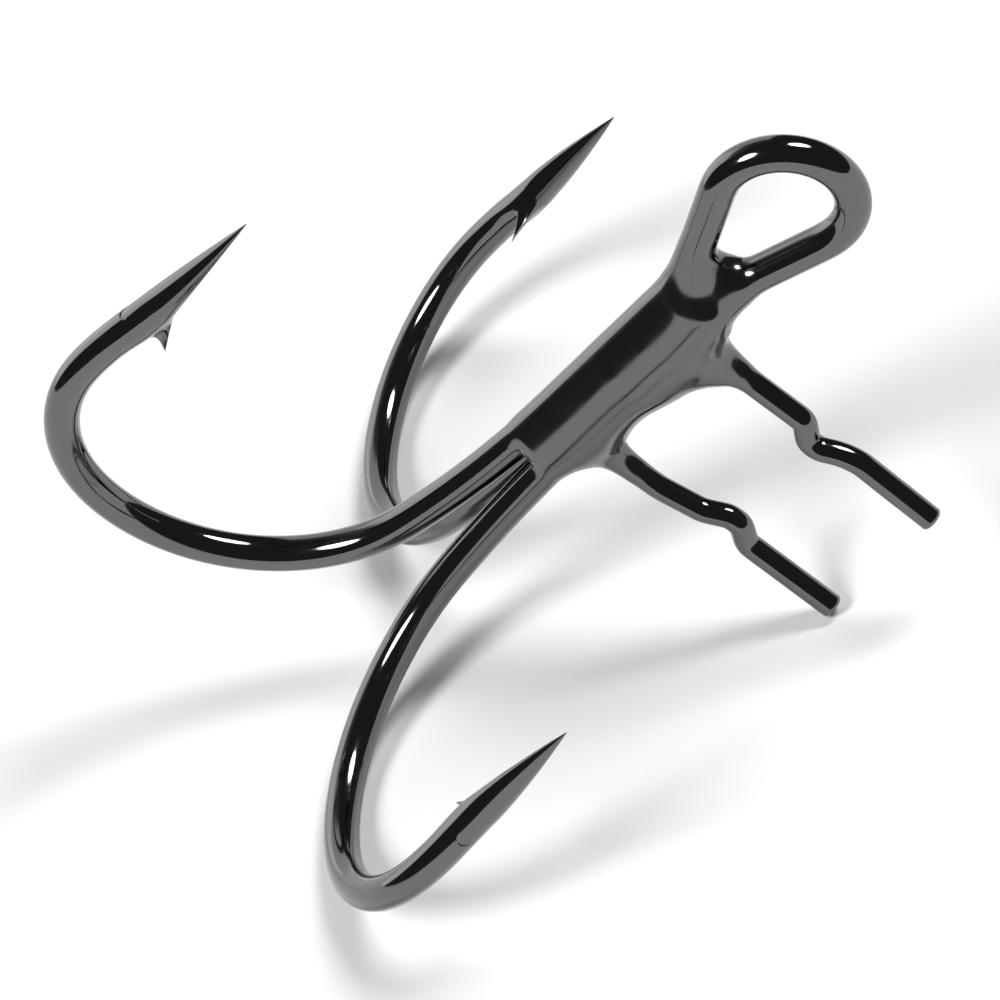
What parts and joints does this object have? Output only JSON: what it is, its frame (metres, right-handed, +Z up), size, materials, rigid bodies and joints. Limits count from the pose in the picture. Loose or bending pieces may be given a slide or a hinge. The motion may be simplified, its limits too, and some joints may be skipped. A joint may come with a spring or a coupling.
{
  "type": "treble hook",
  "caption": "T-pattern treble hook: a ringed hook between opposed side hooks, brazed to one shank, with a kinked bait-pin staple opposite the ringed hook.",
  "frame": {"origin": "middle of the footprint on the table that the hook lies on, touching it with both side bends and the lower bait pin's end", "axes": "+Z up from the table; +Y across the two opposed side hooks, through the eye's opening; the shank lies in the XZ plane and climbs towards -X, so the points face -X and the bends face +X"},
  "size_m": [0.0368, 0.036, 0.025],
  "materials": {
    "wire": "black-nickel plated, mirror bright",
    "braze": "braze metal under the same black-nickel plating"
  },
  "bodies": {
    "root": {"ringed_hook": "wire", "side_hook_1": "wire", "side_hook_2": "wire", "bait_pin_staple": "wire", "shank_braze": "braze", "ring_braze": "braze", "low_pin_braze": "braze", "high_pin_braze": "braze"}
  },
  "joints": []
}
